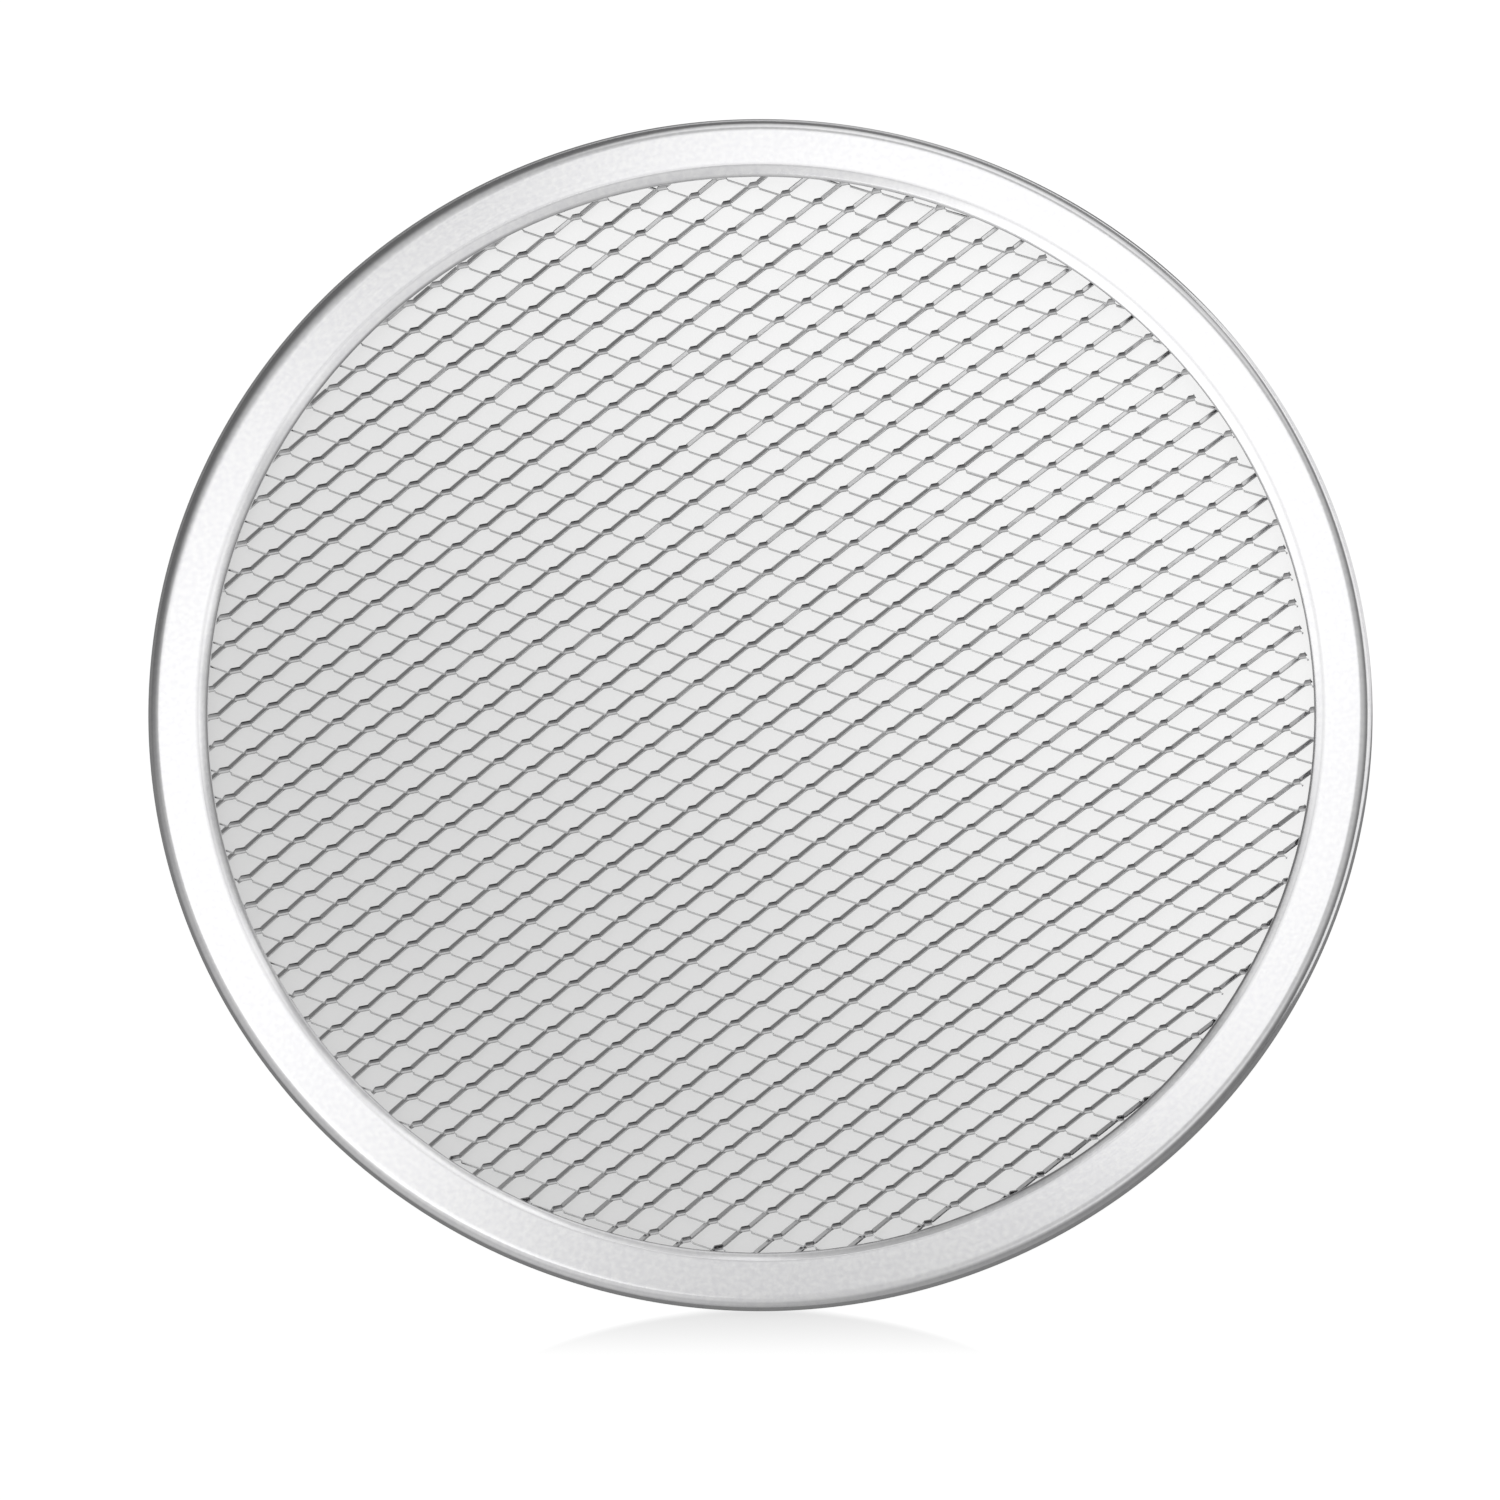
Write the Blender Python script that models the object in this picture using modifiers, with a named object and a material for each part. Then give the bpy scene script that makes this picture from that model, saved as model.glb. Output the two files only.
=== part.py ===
"""Pizza screen: a disc of raised expanded aluminium held in a folded, seamless aluminium rim.

Lengths are in metres and +Z is up. The screen lies flat, and its origin is at the middle of its
underside. The long diagonals of the diamonds run along X and the short ones along Y.
"""

from math import atan2, cos, hypot, pi, radians, sin

import bmesh
import bpy
from mathutils import Vector

# Rim
rim_diameter = 0.305
rim_band_width = 0.0150      # from the outer edge to the edge of the inner lip
rim_sheet = 0.0007           # thickness of the folded strip
fold_width = 0.0039          # how far the rounded outer fold reaches in from the edge
lip_width = 0.0028           # the inner stretch of each flange, pressed towards the mesh
lip_drop = 0.0006            # how far the lip is pressed below the flat of its flange

# Expanded mesh
long_pitch = 0.0165          # bond to bond along a diamond's long diagonal
short_pitch = 0.0077         # bond to bond along a diamond's short diagonal
mesh_thickness = 0.0022      # from the highest strand to the lowest
strand_width = 0.0012
mesh_reach = 0.0030          # how far the mesh runs in under the lip
shortest_stub = 0.0012       # a cut strand shorter than this is trimmed off at its bond
stub_gap = 0.0005            # between cut strands that would have met in a bond past the cut

# Fit
mesh_clearance = 0.0003      # between a lip and the mesh that it holds

# Facets
rim_steps = 72
outer_fold_steps = 3         # in each half of the fold
inner_fold_steps = 2

rim_radius = rim_diameter / 2
opening_radius = rim_radius - rim_band_width
mesh_radius = opening_radius + mesh_reach
cut_radius = mesh_radius - strand_width
rim_height = mesh_thickness + 2 * (mesh_clearance + rim_sheet + lip_drop)
middle = rim_height / 2

mesh_colour = (0.70, 0.71, 0.73, 1.0)
rim_colour = (0.83, 0.84, 0.86, 1.0)


def aluminium(name, colour, roughness):
    """A bare aluminium surface."""
    material = bpy.data.materials.new(name)
    material.use_nodes = True
    shader = material.node_tree.nodes["Principled BSDF"]
    shader.inputs["Base Color"].default_value = colour
    shader.inputs["Metallic"].default_value = 1.0
    shader.inputs["Roughness"].default_value = roughness
    material.diffuse_color = colour
    return material


def add_object(name, mesh, collection, material):
    """Puts a mesh in the collection under a node's name."""
    piece = bpy.data.objects.new(name, mesh)
    collection.objects.link(piece)
    mesh.materials.append(material)
    return piece


def fold_arc(reach, half_height, steps):
    """Half an ellipse, from the top round the outside to the bottom, about the fold's centre."""
    centre = rim_radius - fold_width
    angles = [pi / 2 - pi * step / (2 * steps) for step in range(2 * steps + 1)]
    return [(centre + reach * cos(angle), middle + half_height * sin(angle)) for angle in angles]


def mirrored(points):
    """The same points under the screen's middle plane, in the opposite order."""
    return [(x, rim_height - z) for x, z in reversed(points)]


def rim_section():
    """The closed C section as (radius, height), down the outside and back up the inside.

    Each flange runs flat from the fold to the lip, and the lip slopes to the mesh's clearance.
    """
    bend = opening_radius + lip_width
    outer_lip = [(opening_radius, rim_height - lip_drop), (bend, rim_height)]
    inner_lip = [(x, z - rim_sheet) for x, z in outer_lip]
    outside = outer_lip + fold_arc(fold_width, middle, outer_fold_steps) + mirrored(outer_lip)
    inside = inner_lip + fold_arc(fold_width - rim_sheet, middle - rim_sheet, inner_fold_steps)
    inside += mirrored(inner_lip)
    return outside + inside[::-1]


def build_rim(collection):
    """The rim: its section turned once round the Z axis."""
    section = rim_section()
    count = len(section)
    mesh = bpy.data.meshes.new("rim_section")
    edges = [(k, (k + 1) % count) for k in range(count)]
    mesh.from_pydata([(x, 0.0, z) for x, z in section], edges, [])
    rim = add_object("rolled_rim", mesh, collection, aluminium("rim_aluminium", rim_colour, 0.32))
    screw = rim.modifiers.new("turn", "SCREW")
    screw.angle = 2 * pi
    screw.steps = rim_steps
    screw.render_steps = rim_steps
    screw.use_merge_vertices = True
    screw.merge_threshold = 0.00005
    turned = bpy.data.meshes.new_from_object(rim.evaluated_get(bpy.context.evaluated_depsgraph_get()))
    rim.modifiers.clear()
    rim.data = turned
    bpy.data.meshes.remove(mesh)
    turned.name = "rolled_rim"
    turned.shade_smooth()
    turned.set_sharp_from_angle(angle=radians(35))
    return rim


def bond_corners(x, y):
    """The four corners of a bond, which is a tetrahedron at a crossing of the strands.

    Two corners lie on top, on the line of the falling strands, and two below, on the line of
    the rising ones. Each face then points along one of the four strands that meet there.
    """
    slope = atan2(short_pitch, long_pitch)
    half_edge = strand_width / (2 * sin(2 * slope))
    dx, dy = half_edge * cos(slope), half_edge * sin(slope)
    top, bottom = middle + mesh_thickness / 2, middle - mesh_thickness / 2
    return {
        "top_left": (x - dx, y + dy, top),
        "top_right": (x + dx, y - dy, top),
        "low_right": (x + dx, y + dy, bottom),
        "low_left": (x - dx, y - dy, bottom),
    }


# For each way out of a bond: the step to the next bond in half pitches, the face that the strand
# leaves by, in order as seen from outside, and the corners of the next bond that it runs to.
strand_ways = (
    ((1, 1), ("top_left", "top_right", "low_right"), ("top_left", "top_right", "low_left")),
    ((-1, 1), ("top_left", "low_right", "low_left"), ("top_right", "low_right", "low_left")),
    ((-1, -1), ("top_right", "top_left", "low_left"), ("top_right", "top_left", "low_right")),
    ((1, -1), ("top_right", "low_left", "low_right"), ("top_left", "low_left", "low_right")),
)


def bond_places():
    """The lattice of bonds inside the cut, keyed by their steps of half a pitch."""
    across = int(2 * mesh_radius / long_pitch) + 1
    along = int(2 * mesh_radius / short_pitch) + 1
    places = {}
    for i in range(-across, across + 1):
        for j in range(-along, along + 1):
            x, y = i * long_pitch / 2, j * short_pitch / 2
            if (i + j) % 2 == 0 and hypot(x, y) < cut_radius:
                places[i, j] = (x, y)
    return places


def cut_share(x, y, dx, dy):
    """The share of the step (dx, dy) from a bond at which its strand is cut.

    The strand meets the cut's circle there, or stops a gap short of the missing bond.
    """
    step = hypot(dx, dy)
    along = (x * dx + y * dy) / step
    to_circle = -along + (along ** 2 + cut_radius ** 2 - x ** 2 - y ** 2) ** 0.5
    return min(to_circle, step - stub_gap) / step


def add_strand(bm, near, far):
    """The three sides of a strand that runs from one triangle to another."""
    for k in range(3):
        after = (k + 1) % 3
        bm.faces.new((near[k], near[after], far[after], far[k]))


def add_cut_strand(bm, place, step, near, arrives):
    """The strand of a bond at the edge of the mesh, closed where it is cut, or trimmed off."""
    (x, y), (dx, dy) = place, step
    share = cut_share(x, y, dx, dy)
    if share * hypot(dx, dy) < shortest_stub:
        bm.faces.new(near)
        return
    beyond = bond_corners(x + dx, y + dy)
    ends = [corner.co.lerp(Vector(beyond[name]), share) for corner, name in zip(near, arrives)]
    far = [bm.verts.new(end) for end in ends]
    add_strand(bm, near, far)
    bm.faces.new(far)


def build_mesh(collection):
    """The expanded mesh: one bond at each crossing, joined to its four neighbours by strands.

    A strand between two bonds is made once, on its way up; one that has no far bond is cut.
    """
    bm = bmesh.new()
    places = bond_places()
    bonds = {}
    for key, (x, y) in places.items():
        bonds[key] = {name: bm.verts.new(point) for name, point in bond_corners(x, y).items()}
    for (i, j), place in places.items():
        for (di, dj), leaves, arrives in strand_ways:
            near = [bonds[i, j][name] for name in leaves]
            neighbour = bonds.get((i + di, j + dj))
            if neighbour is None:
                step = (di * long_pitch / 2, dj * short_pitch / 2)
                add_cut_strand(bm, place, step, near, arrives)
            elif dj > 0:
                add_strand(bm, near, [neighbour[name] for name in arrives])
    mesh = bpy.data.meshes.new("expanded_mesh")
    bm.to_mesh(mesh)
    bm.free()
    return add_object("expanded_mesh", mesh, collection, aluminium("mesh_aluminium", mesh_colour, 0.38))


def clear_scene():
    """Removes whatever the file holds before the part is built."""
    for old in list(bpy.data.objects):
        bpy.data.objects.remove(old, do_unlink=True)


def main():
    """Builds the two pieces in one collection."""
    clear_scene()
    collection = bpy.data.collections.new("pizza_screen")
    bpy.context.scene.collection.children.link(collection)
    build_mesh(collection)
    build_rim(collection)


main()
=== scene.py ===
"""Pizza screen: raised expanded aluminium held in a folded aluminium rim, lying on a pale floor.

Lengths are in metres and +Z is up. The screen's origin is at the middle of its underside. The
long diagonals of the mesh run along X. The picture's axes lie flat on the floor: its right is X
turned clockwise by the turn, as seen from above, and its up is square to that.
"""

from math import cos, pi, radians, sin, sqrt

import bpy
import numpy as np
from mathutils import Matrix, Vector


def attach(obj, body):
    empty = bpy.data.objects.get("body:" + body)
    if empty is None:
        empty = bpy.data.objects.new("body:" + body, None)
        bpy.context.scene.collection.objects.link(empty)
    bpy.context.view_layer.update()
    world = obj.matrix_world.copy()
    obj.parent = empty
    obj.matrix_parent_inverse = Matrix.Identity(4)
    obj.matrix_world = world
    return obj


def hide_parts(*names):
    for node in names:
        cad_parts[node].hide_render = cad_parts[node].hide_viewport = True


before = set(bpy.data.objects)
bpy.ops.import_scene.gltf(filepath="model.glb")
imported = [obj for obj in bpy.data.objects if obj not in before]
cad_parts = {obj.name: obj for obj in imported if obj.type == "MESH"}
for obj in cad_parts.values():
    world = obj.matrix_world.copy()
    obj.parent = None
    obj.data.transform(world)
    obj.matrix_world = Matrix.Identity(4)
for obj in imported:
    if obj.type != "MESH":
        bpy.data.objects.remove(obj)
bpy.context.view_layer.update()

# Camera
tilt = radians(13.3)                # off the upright, towards the picture's lower edge
turn = radians(10.68)               # of the mesh's long diagonals off the picture's level
camera_distance = 8.0
frame_width = 0.3738                # what the picture's width spans at the screen
sensor = 36.0
image_side = 1500
centre_pixel = (760.45, 715.05)     # where the origin falls, from the upper left corner

# Rim
rim_radius = 0.1525
rim_height = 0.0054
rim_sheet = 0.0007
rim_band = 0.0150                   # from the outer edge to the edge of the inner lip
fold_width = 0.0033                 # how far the rounded outer fold reaches in from the edge
fold_fullness = 2.3                 # two would be an ellipse, more is squarer
fold_swell = 0.30                   # the share by which the fold is wider at its widest
swell_way = radians(140)            # where it is widest, round from the picture's right
lip_width = 0.0028                  # the inner stretch of each flange, pressed towards the mesh
lip_slope = 0.20                    # the lip's average fall for each metre inwards
lip_curl = 11.0                     # half of what its fall steepens by for each metre inwards
lip_trim = 0.0005                   # how far the lips end short of the band's width
low_trim = 0.0009                   # how much shorter the lower lip is than the upper one
lip_shift = (0.00016, -0.00045)     # how the trim changes towards the picture's right and up
lip_steps = np.array([0, 0.25, 0.5, 0.75, 0.97])    # shares of the lip's width
flat_steps = np.array([0.01, 0.5, 0.98])            # shares of the way from bend to fold
bend_gap = 0.00001                  # points this far off the bend on both sides keep it sharp
fold_steps = 18                     # in each half of the fold
edge_steps = 5                      # round the edge of each lip
rim_facets = 360
lip_waves = ((5, 0.00003, 0.4), (11, 0.00002, 1.9), (17, 0.000015, 0.2), (29, 0.00001, 2.6))

# Expanded mesh
long_pitch = 0.01498                # bond to bond along a diamond's long diagonal
short_pitch = 0.006992              # bond to bond along its short diagonal
bond_x, bond_y = 0.00091, -0.00340  # the place of one bond
mesh_radius = 0.1408
strand_width = 0.00120              # across the face of a strand
strand_depth = 0.00040              # along its cut edge, the thickness of the sheet
back_round = 0.00010                # how much each corner of a strand's section is cut back
front_round = 0.00004
low_round_face = 0.00042
low_round_cut = 0.00010
joint_round = 0.00002               # the same where two strips join in a bond
bond_length = 0.0017
bond_change = -0.004                # what a bond's length gains for each metre along X
valley_bend = 0.0004                # length of the bend between a slope and a valley
peak_bend = 0.0010
rising_hinge = 0.1                  # where a strand turns: 0 at its middle, 0.5 at its lower edge
falling_hinge = 0.95
rising_twist = -0.68                # turn of a strand's section on its way up to the right
falling_twist = 0.68                # and on its way down to the right
twist_change = (0.9, 0.5)           # what the rising twist gains for each metre along X and Y
twist_spread = 0.055                # how much the twist differs from strand to strand
seed = 5
press_twist = -0.38                 # gained where the rim presses the strands over
press_radii = (0.124, 0.134)        # between these the press grows from nought to full
press_side = (0.6, -0.8)            # the side of the screen where it does so
press_reach = 0.08                  # how far out on that side the press is full
bond_shade_radii = (0.132, 0.138)      # between these the painted shade on the bonds fades
edge_bond_shade = 0.5                  # what is left of it next to the rim
net_waves = ((9.0, 4.0, 0.00008, 0.6), (-6.0, 13.0, 0.00006, 2.2), (17.0, -11.0, 0.00004, 4.0))
stretch_radius = 0.125
stretch_along = (0.00035, -0.00019, -0.00039, -0.00036, 0.00045, 0.00013)
stretch_across = (-0.00009, -0.00005, 0.00003, -0.00028, -0.00010, 0.00066)

middle = rim_height / 2


class Wire:
    """The output of a shader node, with the operators that the materials use."""

    def __init__(self, graph, socket):
        self.graph = graph
        self.socket = socket

    def _maths(self, operation, first, second):
        values = {0: first, 1: second}
        return self.graph.add("ShaderNodeMath", {"operation": operation}, values)

    def __add__(self, other):
        return self._maths("ADD", self, other)

    def __radd__(self, other):
        return self._maths("ADD", other, self)

    def __sub__(self, other):
        return self._maths("SUBTRACT", self, other)

    def __rsub__(self, other):
        return self._maths("SUBTRACT", other, self)

    def __mul__(self, other):
        return self._maths("MULTIPLY", self, other)

    def __rmul__(self, other):
        return self._maths("MULTIPLY", other, self)

    def __truediv__(self, other):
        return self._maths("DIVIDE", self, other)

    def __pow__(self, other):
        return self._maths("POWER", self, other)


class Graph:
    """The node tree of a material or of the world."""

    def __init__(self, tree):
        self.tree = tree

    def add(self, kind, settings=None, values=None, output=0):
        """Adds a node of a kind, with its settings and then the values or links of its inputs."""
        node = self.tree.nodes.new(kind)
        for name, value in (settings or {}).items():
            setattr(node, name, value)
        for name, value in (values or {}).items():
            self.put(node.inputs[name], value)
        return Wire(self, node.outputs[output])

    def put(self, socket, value):
        """Links a wire to a socket, or sets the socket's own value."""
        if isinstance(value, Wire):
            self.tree.links.new(value.socket, socket)
        else:
            socket.default_value = value

    def place(self):
        """The place on a piece, in its own axes."""
        return self.add("ShaderNodeTexCoord", output="Object")

    def parts(self, vector):
        """The X, Y and Z of a vector."""
        node = self.tree.nodes.new("ShaderNodeSeparateXYZ")
        self.put(node.inputs[0], vector)
        return [Wire(self, output) for output in node.outputs]

    def rays(self):
        """Whether a ray comes from the camera, and whether it comes off a glossy surface."""
        node = self.tree.nodes.new("ShaderNodeLightPath")
        return Wire(self, node.outputs["Is Camera Ray"]), Wire(self, node.outputs["Is Glossy Ray"])


def new_material(name):
    """A material with a Principled shader, as its graph and the shader's inputs."""
    material = bpy.data.materials.new(name)
    material.use_nodes = True
    return material, Graph(material.node_tree), material.node_tree.nodes["Principled BSDF"].inputs


def ramp(graph, value, low, high, to_low, to_high):
    """Maps a value smoothly from one range to another and holds it at the ends."""
    settings = {"interpolation_type": "SMOOTHSTEP"}
    values = {"Value": value, "From Min": low, "From Max": high, "To Min": to_low, "To Max": to_high}
    return graph.add("ShaderNodeMapRange", settings, values)


def blend_colours(graph, share, first, second):
    """A mix of two colours by a share."""
    values = {0: share, 6: first, 7: second}
    return graph.add("ShaderNodeMix", {"data_type": "RGBA"}, values, 2)


def noise(graph, place, scale, detail=2.0, roughness=0.5):
    """Noise at a place, from 0 to 1."""
    values = {"Vector": place, "Scale": scale, "Detail": detail, "Roughness": roughness}
    return graph.add("ShaderNodeTexNoise", None, values)


def bump(graph, strength, height):
    """The normal of a surface with fine relief."""
    values = {"Strength": strength, "Distance": relief, "Height": height}
    return graph.add("ShaderNodeBump", None, values)


def build_mesh_object(name, points, faces, normals=None):
    """A piece from arrays of points, four-cornered faces and, if given, the normal at each point."""
    mesh = bpy.data.meshes.new(name)
    mesh.vertices.add(len(points))
    mesh.vertices.foreach_set("co", points.astype(np.float32).ravel())
    mesh.loops.add(faces.size)
    mesh.loops.foreach_set("vertex_index", faces.astype(np.int32).ravel())
    mesh.polygons.add(len(faces))
    mesh.polygons.foreach_set("loop_start", np.arange(0, faces.size, 4, dtype=np.int32))
    mesh.update(calc_edges=True)
    mesh.shade_smooth()
    if normals is not None:
        mesh.normals_split_custom_set_from_vertices(normals.astype(np.float32))
    piece = bpy.data.objects.new(name, mesh)
    bpy.context.scene.collection.objects.link(piece)
    return piece


def add_share(piece, name, values):
    """Keeps a share from 0 to 1 at each point of a piece, for its finish to read."""
    share = piece.data.attributes.new(name, "FLOAT", "POINT")
    share.data.foreach_set("value", values.astype(np.float32))


def unit(vectors):
    """Vectors scaled to length one."""
    return vectors / np.linalg.norm(vectors, axis=-1, keepdims=True)


# The rim

def rim_outline():
    """The outer side of the rim's C section as (radius, height), from the upper lip to the lower.

    With d the distance inwards from the lip's bend, the upper side falls by
    d * (slope + curl * (d - lip_width)) on the lip and is level on the flat. The fold is half of
    (across / fold_width)^n + (up / middle)^n = 1, with n its fullness. The lower half is the
    upper one mirrored about the middle.
    """
    tip = rim_radius - rim_band
    bend = tip + lip_width
    shoulder = rim_radius - fold_width
    lip = tip + lip_steps * lip_width
    flat = bend + flat_steps * (shoulder - bend)
    radius = np.concatenate([lip, [bend - bend_gap, bend + bend_gap], flat])
    inwards = np.maximum(bend - radius, 0)
    fall = inwards * (lip_slope + lip_curl * (inwards - lip_width))
    angle = np.linspace(pi / 2, 0, fold_steps + 1)
    across, up = np.cos(angle) ** (2 / fold_fullness), np.sin(angle) ** (2 / fold_fullness)
    radius = np.concatenate([radius, shoulder + fold_width * across])
    height = np.concatenate([rim_height - fall, middle + middle * up])
    upper = np.stack([radius, height], axis=1)
    lower = upper[-2::-1] * [1, -1] + [0, rim_height]
    return np.concatenate([upper, lower])


def rim_section():
    """The closed section: the outline, round one lip's edge, the inner side, round the other's.

    The inner side lies one sheet thickness inside the outline, square to it. Each lip's edge is
    half a circle across the sheet.
    """
    outer = rim_outline()
    along = unit(np.gradient(outer, axis=0))
    inward = np.stack([along[:, 1], -along[:, 0]], axis=1)
    inner = outer + inward * rim_sheet
    bend = np.linspace(0, pi, edge_steps + 1)[1:-1, None]

    def edge(k, outwards):
        centre = (outer[k] + inner[k]) / 2
        half = (outer[k] - inner[k]) / 2
        return centre + half * np.cos(bend) + outwards * along[k] * np.sin(bend) * rim_sheet / 2

    return np.concatenate([outer, edge(-1, 1), inner[::-1], edge(0, -1)[::-1]])


def build_rim():
    """The rim: its section turned round the Z axis, with what changes on the way round.

    What is done to a lip is done by the share of the lip's width that a point lies inwards of
    its bend. The lip waves up and down by a few hundredths of a millimetre where it was pressed.
    It is cut short by trim = lip_trim + lip_shift . (cos, sin) of the way round, and by low_trim
    more below, and follows its slope as it is. With swell = fold_swell * max(cos(way -
    swell_way), 0)^4, a point on the fold moves inwards by swell times its distance from the
    rim's edge, and one on the flat by swell times the fold's width and its share of the way
    from the bend to the fold.
    """
    section = rim_section()
    count = len(section)
    angle = np.arange(rim_facets) * 2 * pi / rim_facets
    radius = np.broadcast_to(section[:, 0], (rim_facets, count))
    height = np.broadcast_to(section[:, 1], (rim_facets, count))
    bend = rim_radius - rim_band + lip_width
    share = np.clip((bend - radius) / lip_width, 0, 1)
    waves = sum(size * np.sin(number * angle + start) for number, size, start in lip_waves)
    side = np.sign(height - middle)
    way = (angle + turn)[:, None]
    trim = lip_trim + lip_shift[0] * np.cos(way) + lip_shift[1] * np.sin(way)
    trim = trim + np.where(side < 0, low_trim, 0)
    height = height + share * side * (waves[:, None] + trim * lip_slope)
    swell = fold_swell * np.maximum(np.cos(way - swell_way), 0) ** 4
    shoulder = rim_radius - fold_width
    outward = np.clip((radius - bend) / (shoulder - bend), 0, 1)
    radius = radius + share * trim - outward * (rim_radius - np.maximum(radius, shoulder)) * swell
    x, y = radius * np.cos(angle)[:, None], radius * np.sin(angle)[:, None]
    points = np.stack([x, y, height], axis=2)
    a = np.arange(rim_facets)[:, None]
    b = np.arange(count)[None, :]
    here, there = a * count, (a + 1) % rim_facets * count
    after = (b + 1) % count
    faces = np.stack([here + b, here + after, there + after, there + b], axis=2)
    return build_mesh_object("rolled_rim_sheet", points.reshape(-1, 3), faces.reshape(-1, 4))


# The expanded mesh

def bow(x, y):
    """How far the mesh bows up or down at a place: the sum of three long, shallow waves."""
    return sum(size * np.sin(2 * pi * (x * a + y * b) + start) for a, b, size, start in net_waves)


def stretch(x, y, shares):
    """How far the mesh is out of its even lattice at a place.

    With u and v the place over the stretch radius, it is the shares' sum over 1, u, v, u^2, uv
    and v^2.
    """
    u, v = x / stretch_radius, y / stretch_radius
    terms = (1, u, v, u * u, u * v, v * v)
    return sum(share * term for share, term in zip(shares, terms))


def strand_twists(i, k, rising):
    """The turn of the section on the slope of each strand i of each strip k.

    A rising strand's twist changes evenly over the screen, and by the press next to the rim on
    one side: press_twist * (r - r0) / (r1 - r0) * (p . side) / reach, each share held within 0
    and 1. A falling strand's is even. Every strand then differs by a draw of its own.
    """
    x, y = i * long_pitch / 2, k[:, None] * short_pitch / 2
    change = i * (long_pitch / 2) * twist_change[0] + k[:, None] * short_pitch / 2 * twist_change[1]
    start, end = press_radii
    press = np.clip((np.hypot(x, y) - start) / (end - start), 0, 1)
    press = press * np.clip((x * press_side[0] + y * press_side[1]) / press_reach, 0, 1)
    change = (change + press * press_twist)[:, :, None]
    random = np.random.default_rng(seed)
    draws = random.normal(0, twist_spread, (len(k), len(i), 1))
    return np.where(rising, rising_twist + change, falling_twist), draws


def strand_faces(inside):
    """The walls and end caps of the strands, from which stations of each strip are kept.

    Eight corners to a station are numbered strip by strip. A wall joins two kept neighbours,
    and a cap of three faces closes each run of kept stations at either end.
    """
    number = np.arange(inside.size).reshape(inside.shape) * 8
    both = inside[:, :-1] & inside[:, 1:]
    first, second = number[:, :-1][both][:, None], number[:, 1:][both][:, None]
    j = np.arange(8)
    after = (j + 1) % 8
    walls = np.stack([first + j, first + after, second + after, second + j], axis=2).reshape(-1, 4)
    padded = np.pad(inside, ((0, 0), (1, 1)))
    starts = number[inside & ~padded[:, :-2] & padded[:, 2:]][:, None]
    ends = number[inside & ~padded[:, 2:] & padded[:, :-2]][:, None]
    cap = np.array([[0, 1, 2, 3], [0, 3, 4, 7], [7, 4, 5, 6]])
    start_caps = (starts[:, None] + cap[None, :, ::-1]).reshape(-1, 4)
    end_caps = (ends[:, None] + cap[None]).reshape(-1, 4)
    return np.concatenate([walls, start_caps, end_caps])


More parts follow.
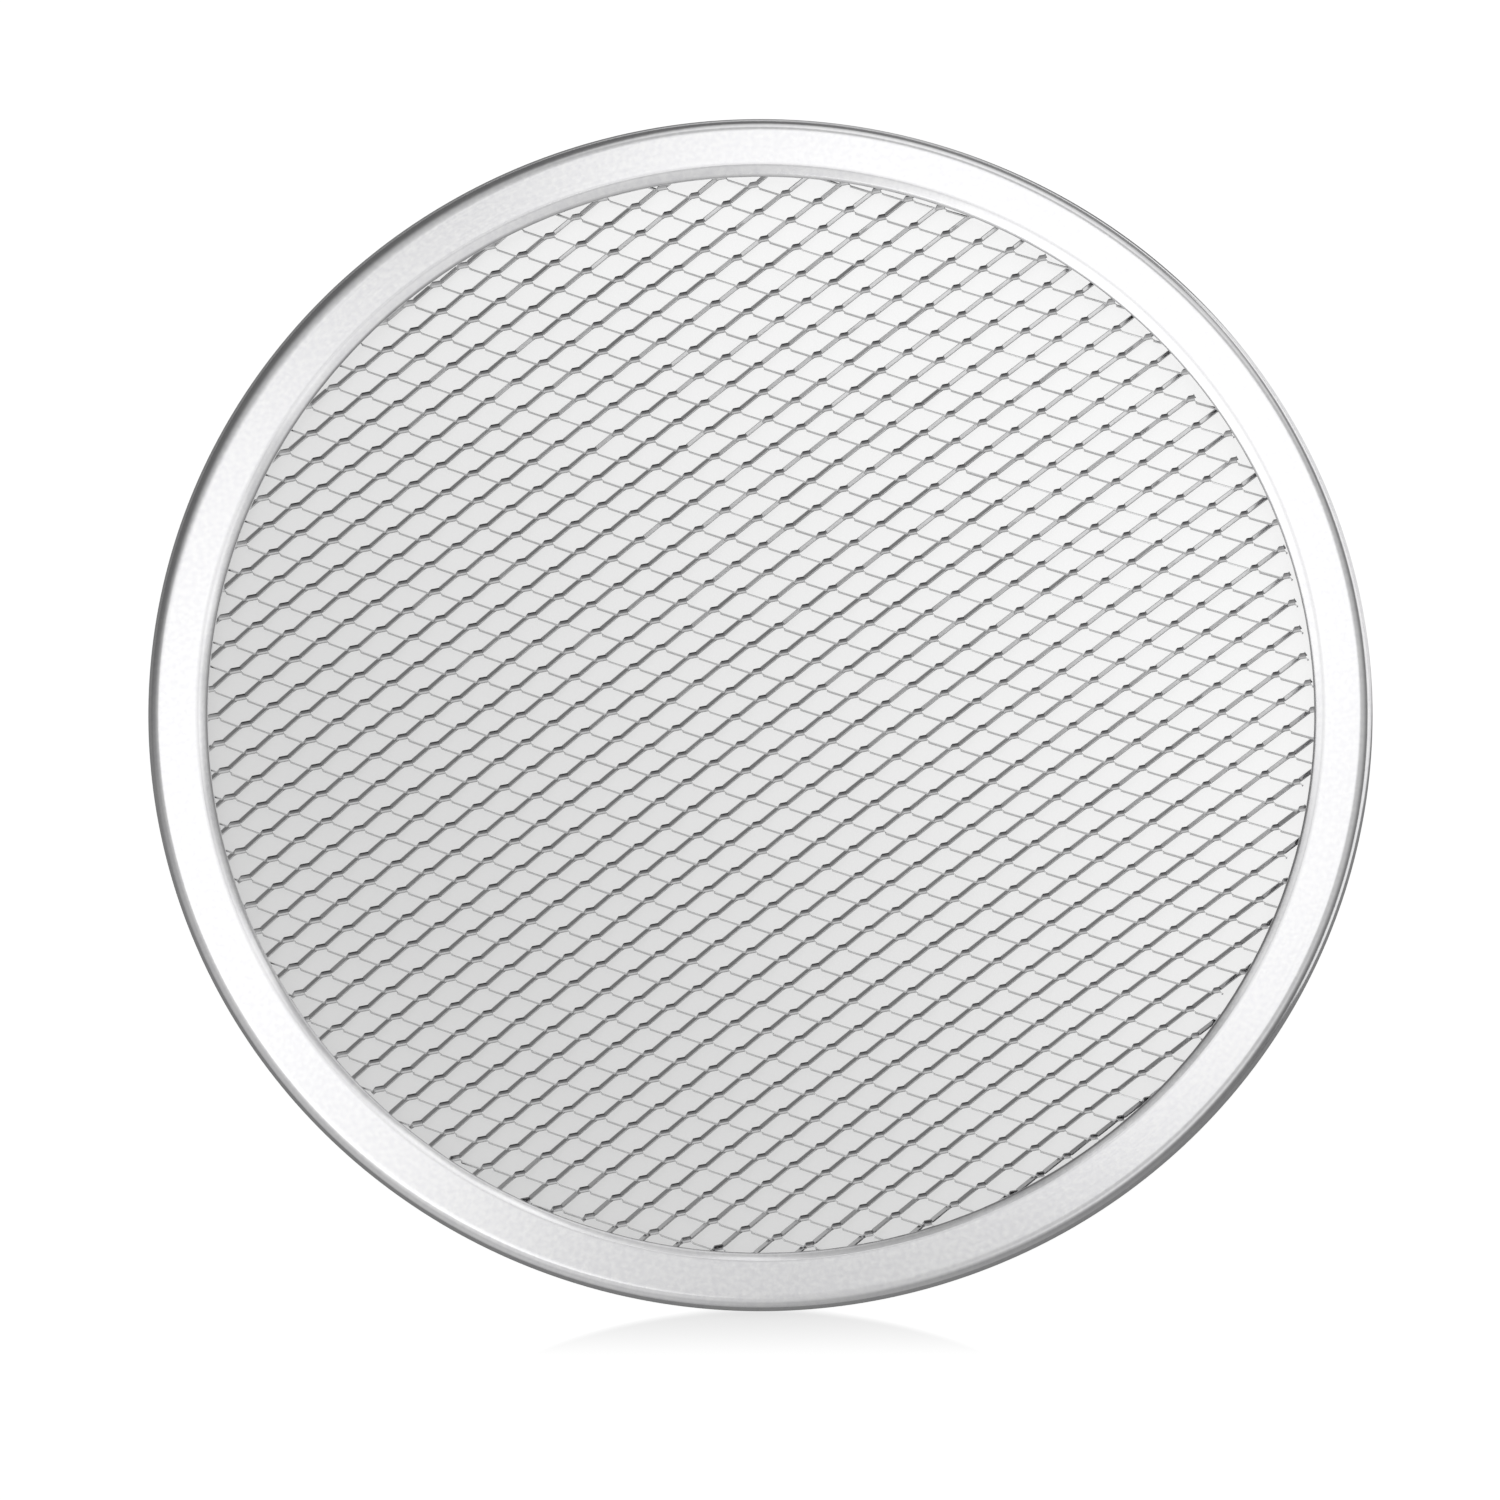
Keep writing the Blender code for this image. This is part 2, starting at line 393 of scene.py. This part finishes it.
def build_net():
    """The expanded mesh: one zigzag strip of sheet for each row of bonds, joined along the bonds.

    With w a strand's width, S the short pitch and c = 2w/S, a bond's face leans so that its
    upright is up = (0, c, s), where s = sqrt(1 - c^2), and a strip falls from its own row of
    bonds to the row before it along down = (0, s, -c) by h = sqrt((S/2)^2 - w^2). Strip k has
    its valleys in row k, where it is the upper half of the bonds, and its peaks in row k + 1,
    where it is the lower half. Its centreline is the row + up * w/2 + down * h * share, and the
    share goes from 0 in a valley to 1 on a peak with a short bend at each end. The bonds grow
    shorter along X, and stretch and bow move the centreline off the even lattice.

    The section is a rectangle with its corners cut off, set across the centreline. On the slopes
    it is turned by the twist about a hinge below its middle: its side is up * cos + across * sin
    and its face across * cos - up * sin, and the centreline moves by (side - up) * w * hinge.
    The corners stay sharp where two strips join in a bond.

    Two shares are kept for the finish: the cut edges, and the painted shade on the bonds.
    """
    w, t = strand_width, strand_depth
    c = 2 * w / short_pitch
    s = sqrt(1 - c * c)
    drop = sqrt((short_pitch / 2) ** 2 - w * w)
    up = np.array([0, c, s])
    down = np.array([0, s, -c])
    run = long_pitch / 2
    steep = np.array([0, 1, 1, 0])

    rows = int(mesh_radius / (short_pitch / 2)) + 3
    halves = int(mesh_radius / run) + 3
    k = np.arange(-rows, rows + 1)
    i = np.arange(-halves, halves + 1)
    rising = (i % 2 == 0)[:, None]
    flat = (bond_length + bond_change * (i[:, None] + 0.5) * run) / 2
    slope = 1 / (run - 2 * flat - (valley_bend + peak_bend) / 2)
    marks = np.concatenate([flat, flat + valley_bend, run - flat - peak_bend, run - flat], axis=1)
    shares = np.array([0, 0.5 * valley_bend, -0.5 * peak_bend, 0]) * slope + [0, 0, 1, 1]
    x = (i[:, None] * run + np.where(rising, marks, run - marks[:, ::-1])).ravel()
    share = np.where(rising, shares, shares[:, ::-1]).ravel()
    even_twist, draws = strand_twists(i, k, rising)
    twist = (even_twist * steep + draws * steep).reshape(len(k), -1)
    slope_way = np.where(rising, slope, -slope) * steep

    centre = np.zeros((len(k), len(x), 3))
    centre[:, :, 0] = x + np.where(k % 2 == 0, 0, run)[:, None] + bond_x
    centre[:, :, 1] = k[:, None] * short_pitch / 2 + bond_y
    centre[:, :, 2] = middle
    centre += up * w / 2 + share[:, None] * drop * down
    along_x = stretch(centre[:, :, 0], centre[:, :, 1], stretch_along)
    centre[:, :, 1] += stretch(centre[:, :, 0], centre[:, :, 1], stretch_across)
    centre[:, :, 0] += along_x
    centre[:, :, 2] += bow(centre[:, :, 0], centre[:, :, 1])
    along = unit(np.array([1.0, 0, 0]) + slope_way.ravel()[:, None] * drop * down)
    across = np.cross(along, up)
    side = up * np.cos(twist)[..., None] + across * np.sin(twist)[..., None]
    face = across * np.cos(twist)[..., None] - up * np.sin(twist)[..., None]
    hinge = np.where(rising, rising_hinge, falling_hinge) * np.ones(4)
    centre += (side - up) * w * hinge.ravel()[:, None]

    at_valley = (share == 0)[:, None]
    at_peak = (share == 1)[:, None]
    back_top, front_top = (np.where(at_peak, joint_round, r) for r in (back_round, front_round))
    back_low, low_cut, low_face = (
        np.where(at_valley, joint_round, r) for r in (back_round, low_round_cut, low_round_face)
    )
    a, b = w / 2, t / 2
    corners = [
        (side, a, face, -b + back_top), (side, a, face, b - front_top),
        (face, b, side, a - front_top), (face, b, side, -a + low_face),
        (side, -a, face, b - low_cut), (side, -a, face, -b + back_low),
        (face, -b, side, -a + back_low), (face, -b, side, a - back_top),
    ]
    ring = np.stack([p * q + u * v for p, q, u, v in corners], axis=2)
    points = (centre[:, :, None, :] + ring).reshape(-1, 3)
    normals = np.stack([p * np.sign(q) for p, q, u, v in corners], axis=2).reshape(-1, 3)

    inside = np.hypot(centre[:, :, 0], centre[:, :, 1]) < mesh_radius
    used, faces = np.unique(strand_faces(inside), return_inverse=True)
    points, normals = points[used], normals[used]
    net = build_mesh_object("expanded_mesh_strands", points, faces.reshape(-1, 4), normals)

    corner = used % 8
    station = (used // 8) % len(x)
    cut = np.array([1, 1, 0, 0, 1, 1, 0, 0])
    upper_half = np.array([1, 1, 1, 0.7, 0, 0, 1, 1])
    lower_half = np.array([0, 0, 0, 0.4, 1, 1, 0, 0])
    # painted shade on the bonds: the upper half in a valley and the lower half on a peak, fading next
    # to the rim
    shade_mark = np.where(at_valley[:, 0][station], upper_half[corner], 0)
    shade_mark = np.where(at_peak[:, 0][station], lower_half[corner], shade_mark)
    fade = np.interp(np.hypot(points[:, 0], points[:, 1]), bond_shade_radii, (1, edge_bond_shade))
    add_share(net, "cut_edge", cut[corner])
    add_share(net, "painted_bond_shade", shade_mark * fade)
    return net


# Finishes

rim_grain, rim_pale = (0.89, 0.887, 0.906, 1), (0.958, 0.957, 0.960, 1)
rim_roughness = 0.15
rim_brushing = 0.35                 # how much the turned lines draw the highlights out
lines_round, lines_across = 0.9, 900.0  # how fast the lines change round the rim and across it
# painted shade along the lip's bend: its grey, then how far it reaches from the bend and its share
crease_shade_grey = (0.64, 0.64, 0.65, 1)
crease_shade_reach, crease_shade_share = 0.0007, 0.5
net_grain, net_pale = (0.86, 0.86, 0.865, 1), (0.915, 0.915, 0.92, 1)
net_roughness = 0.18
streak_scale = (300.0, 300.0, 2400.0)
cut_grey, cut_share = (0.40, 0.40, 0.41, 1), 0.15
# painted shade: the dark grey laid on the bonds
bond_shade_grey = (0.12, 0.12, 0.125, 1)
rim_mottle, rim_clouds = 720, 26    # patches to a metre
net_mottle, net_clouds = 700, 45
fine_noise = (3.0, 0.6)             # the detail and roughness of the lines' and streaks' noise
tone_range = (0.3, 0.7)             # the part of the noise that the tones spread over
relief = 0.0001                     # the height that a bump of one stands for


def rim_finish():
    """Satin aluminium with fine lines turned round the rim, a faint mottle and painted shade along
    the lip's bend.

    The lines are noise on lines_round times the (cos, sin) of the way round, and lines_across
    times the radius less the height, so they are long round the rim and fine across it.
    """
    material, graph, shader = new_material("rim_satin_aluminium")
    place = graph.place()
    x, y, z = graph.parts(place)
    radius = (x * x + y * y) ** 0.5
    round_x, round_y = x / radius * lines_round, y / radius * lines_round
    values = {0: round_x, 1: round_y, 2: (radius - z) * lines_across}
    lines = noise(graph, graph.add("ShaderNodeCombineXYZ", None, values), 1.6, *fine_noise)
    mottle = noise(graph, place, rim_mottle)
    clouds = noise(graph, place, rim_clouds)
    tone = ramp(graph, mottle * 0.75 + clouds * 0.2 + lines * 0.05, *tone_range, 0.0, 1.0)
    colour = blend_colours(graph, tone, rim_grain, rim_pale)
    off_bend = radius - (rim_radius - rim_band + lip_width)
    # painted shade darkens the colour along the lip's bend
    crease_shade = ramp(graph, (off_bend * off_bend) ** 0.5, 0.0, crease_shade_reach, 1.0, 0.0)
    colour = blend_colours(graph, crease_shade * crease_shade_share, colour, crease_shade_grey)
    graph.put(shader["Base Color"], colour)
    graph.put(shader["Metallic"], 1.0)
    graph.put(shader["Roughness"], rim_roughness + lines * 0.015 + mottle * 0.03)
    graph.put(shader["Anisotropic"], rim_brushing)
    graph.put(shader["Normal"], bump(graph, 0.12, lines * 0.3 + mottle * 0.3))
    return material


def net_finish():
    """Mill aluminium: smooth faces with faint rolling marks, and duller, streaked cut edges."""
    material, graph, shader = new_material("mesh_mill_aluminium")
    place = graph.place()
    cut = graph.add("ShaderNodeAttribute", {"attribute_name": "cut_edge"}, None, "Fac")
    painted_bond_shade = graph.add("ShaderNodeAttribute", {"attribute_name": "painted_bond_shade"}, None, "Fac")
    drawn_out = graph.add("ShaderNodeMapping", None, {"Vector": place, "Scale": streak_scale})
    streaks = noise(graph, drawn_out, 1.0, *fine_noise)
    mottle = noise(graph, place, net_mottle)
    clouds = noise(graph, place, net_clouds)
    tone = ramp(graph, mottle * 0.6 + clouds * 0.4, *tone_range, 0.0, 1.0)
    colour = blend_colours(graph, tone, net_grain, net_pale)
    colour = blend_colours(graph, cut * cut_share, colour, cut_grey)
    # painted shade darkens the bonds
    colour = blend_colours(graph, painted_bond_shade, colour, bond_shade_grey)
    graph.put(shader["Base Color"], colour)
    graph.put(shader["Metallic"], 1.0)
    rough = net_roughness + clouds * 0.05 + cut * 0.02 + streaks * cut * 0.06
    graph.put(shader["Roughness"], rough)
    graph.put(shader["Normal"], bump(graph, 0.15, streaks * cut + mottle * 0.3))
    return material


# Stage

floor_half = 30.0
floor_drop = 0.00005                # how far the floor lies below the screen
floor_white = 0.905                 # glow at which the lit floor looks white to the camera
floor_grey = (0.35, 0.35, 0.35, 1)  # its colour under the glow
shadow_radii = (0.139, 0.151)         # the painted shadow under the mesh fades out between these
least_shadow, most_shadow = 0.14, 0.34
shadow_way = (-0.7, -0.7)             # and deepens this way in the picture
shadow_ends = (-0.12, 0.13)           # from the first of these to the second
mirror_middle = -0.3065             # the rim's faint mirror image, below it in the picture
mirror_radii = (0.1538, 0.1560)
mirror_ends = (-0.169, -0.150)      # it fades out between these
mirror_grey = 0.29
metal_floor = 0.05                  # the floor's glow as the metal mirrors it
under_gain = 0.45                   # what that gains under the mesh,
right_gain = 0.55                   # past the rim's right side
right_way = (0.93, 0.37)            # (this way in the picture
right_ends = (0.143, 0.152)         # from the first of these to the second,
right_start = (-0.035, -0.005)      # and up the picture in the same way)
far_gain = 0.30                     # and past its far side
far_way = (0.20, 0.98)
far_ends = (0.153, 0.160)
world_grey = 0.26

# Each patch of the studio: its way in the picture's axes, with Z up, the cosine of its reach, and
# how much lighter it is.
studio_patches = (
    ((-0.60, 0.75, 0.35), 0.45, -0.13),
    ((0.80, -0.55, 0.15), 0.55, -0.05),
    ((1.00, -0.15, 0.55), 0.45, -0.06),
    ((-0.55, -0.45, 0.60), 0.60, 0.24),
    ((0.25, -1.00, 0.20), 0.50, 0.12),
    ((0.00, 0.05, 1.00), 0.70, 0.30),
    ((0.30, -0.08, 0.95), 0.98, 0.28),
    ((0.10, 0.60, 0.79), 0.975, 0.20),
)

# Each soft lamp: its middle and what it faces in the picture's axes, its width and height, its roll
# about its own axis, and its glow.
panels = {
    "left_panel": ((-0.28, 0.06, 1.0), (0, 0, 0), 0.57, 0.42, radians(18), 0.60),
    "right_panel": ((0.075, 0.285, 1.0), (0, 0, 0), 0.30, 0.33, 0, 0.66),
    "far_card": ((0.28, 0.82, 0.80), (0.1, 0.1, 0), 0.85, 0.50, 0, 0.40),
    "right_card": ((0.42, 0.19, 0.10), (0.0, 0.19, 0.05), 0.70, 0.16, radians(5), 0.70),
}


def place_camera():
    """The camera, square to the picture, with the shift that sets the origin's pixel.

    It looks back along (0, -sin(tilt), cos(tilt)) in the picture's flat axes.
    """
    right = Vector((cos(turn), -sin(turn), 0))
    flat_up = Vector((sin(turn), cos(turn), 0))
    back = -flat_up * sin(tilt) + Vector((0, 0, cos(tilt)))
    data = bpy.data.cameras.new("camera")
    data.sensor_width = sensor
    data.lens = sensor * camera_distance / frame_width
    data.clip_end = 50
    data.shift_x = (image_side / 2 - centre_pixel[0]) / image_side
    data.shift_y = (centre_pixel[1] - image_side / 2) / image_side
    camera = bpy.data.objects.new("camera", data)
    bpy.context.scene.collection.objects.link(camera)
    turned = Matrix((right, back.cross(right), back)).transposed().to_4x4()
    turned.translation = back * camera_distance
    camera.matrix_world = turned
    bpy.context.scene.camera = camera


def stage_frame():
    """The matrix from the picture's flat axes, with Z up, to the screen's frame."""
    return Matrix.Rotation(-turn, 4, "Z")


def add_panel(name, centre, aims_at, width, height, roll, glow):
    """A soft rectangular lamp, placed in the picture's flat axes and rolled about its own axis."""
    data = bpy.data.lights.new(name, "AREA")
    data.shape = "RECTANGLE"
    data.size = width
    data.size_y = height
    data.energy = glow * pi * width * height
    lamp = bpy.data.objects.new(name, data)
    bpy.context.scene.collection.objects.link(lamp)
    towards = Vector(aims_at) - Vector(centre)
    facing = towards.to_track_quat("-Z", "Y").to_matrix().to_4x4() @ Matrix.Rotation(roll, 4, "Z")
    lamp.matrix_world = stage_frame() @ Matrix.Translation(Vector(centre)) @ facing
    lamp.visible_camera = False


def how_far(x, y, way):
    """How far a place lies along a level way."""
    return x * way[0] + y * way[1]


def build_floor():
    """A wide pale floor, white to the camera less the painted shadow and the painted mirror image.

    The painted shadow under the mesh deepens towards the picture's lower left. The metal mirrors
    a darker floor than the camera sees, lighter under the mesh and past the rim's right and far
    sides.
    """
    corners = [(-1, -1, 0), (1, -1, 0), (1, 1, 0), (-1, 1, 0)]
    points = np.array(corners) * floor_half - [0, 0, floor_drop]
    floor = build_mesh_object("floor", points, np.array([[0, 1, 2, 3]]))
    material, graph, shader = new_material("floor_white")
    turned = graph.add("ShaderNodeMapping", None, {"Vector": graph.place(), "Rotation": (0, 0, turn)})
    x, y, z = graph.parts(turned)
    # painted shadow of the screen on the floor under the mesh, deepening towards the picture's lower
    # left
    under = ramp(graph, (x * x + y * y) ** 0.5, *shadow_radii, 1.0, 0.0)
    shadow_depth = ramp(graph, how_far(x, y, shadow_way), *shadow_ends, 0.0, most_shadow)
    # the rim's painted mirror image, a soft grey below it in the picture
    off_mirror = y - mirror_middle
    mirror = ramp(graph, (x * x + off_mirror * off_mirror) ** 0.5, *mirror_radii, 1.0, 0.0)
    mirror = mirror * ramp(graph, y, *mirror_ends, 0.0, mirror_grey)
    right_side = ramp(graph, how_far(x, y, right_way), *right_ends, 0.0, right_gain)
    right_side = right_side * ramp(graph, y, *right_start, 0.0, 1.0)
    far_side = ramp(graph, how_far(x, y, far_way), *far_ends, 0.0, far_gain)
    seen, glossy = graph.rays()
    # shade takes the painted shadow and the painted mirror image off the floor's white
    shade = (1 - under * (shadow_depth * (1 - least_shadow) + least_shadow)) * (1 - mirror)
    in_metal = metal_floor + under * under_gain + right_side + far_side
    graph.put(shader["Base Color"], floor_grey)
    graph.put(shader["Roughness"], 0.9)
    graph.put(shader["Specular IOR Level"], 0.0)
    graph.put(shader["Emission Color"], (1, 1, 1, 1))
    graph.put(shader["Emission Strength"], seen * floor_white * shade + glossy * in_metal)
    floor.data.materials.append(material)


def build_world():
    """A plain grey studio with its lighter and darker patches, white to the camera itself."""
    world = bpy.data.worlds.new("studio")
    bpy.context.scene.world = world
    world.use_nodes = True
    graph = Graph(world.node_tree)
    background = world.node_tree.nodes["Background"].inputs
    sky = graph.add("ShaderNodeTexCoord", output="Generated")
    grey = world_grey
    for way, start, gain in studio_patches:
        towards = (stage_frame() @ Vector(way)).normalized()
        settings = {"operation": "DOT_PRODUCT"}
        nearness = graph.add("ShaderNodeVectorMath", settings, {0: sky, 1: towards}, "Value")
        grey = grey + ramp(graph, nearness, start, 1.0, 0.0, gain)
    seen, glossy = graph.rays()
    graph.put(background["Strength"], grey * (1 - seen) + seen)
    background["Color"].default_value = (1, 1, 1, 1)


bpy.context.scene.view_settings.view_transform = "Standard"
place_camera()

rim = build_rim()
rim.data.materials.append(rim_finish())
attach(rim, "root")
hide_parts("rolled_rim")

net = build_net()
net.data.materials.append(net_finish())
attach(net, "root")
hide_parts("expanded_mesh")

build_floor()
build_world()
for panel_name, values in panels.items():
    add_panel(panel_name, *values)
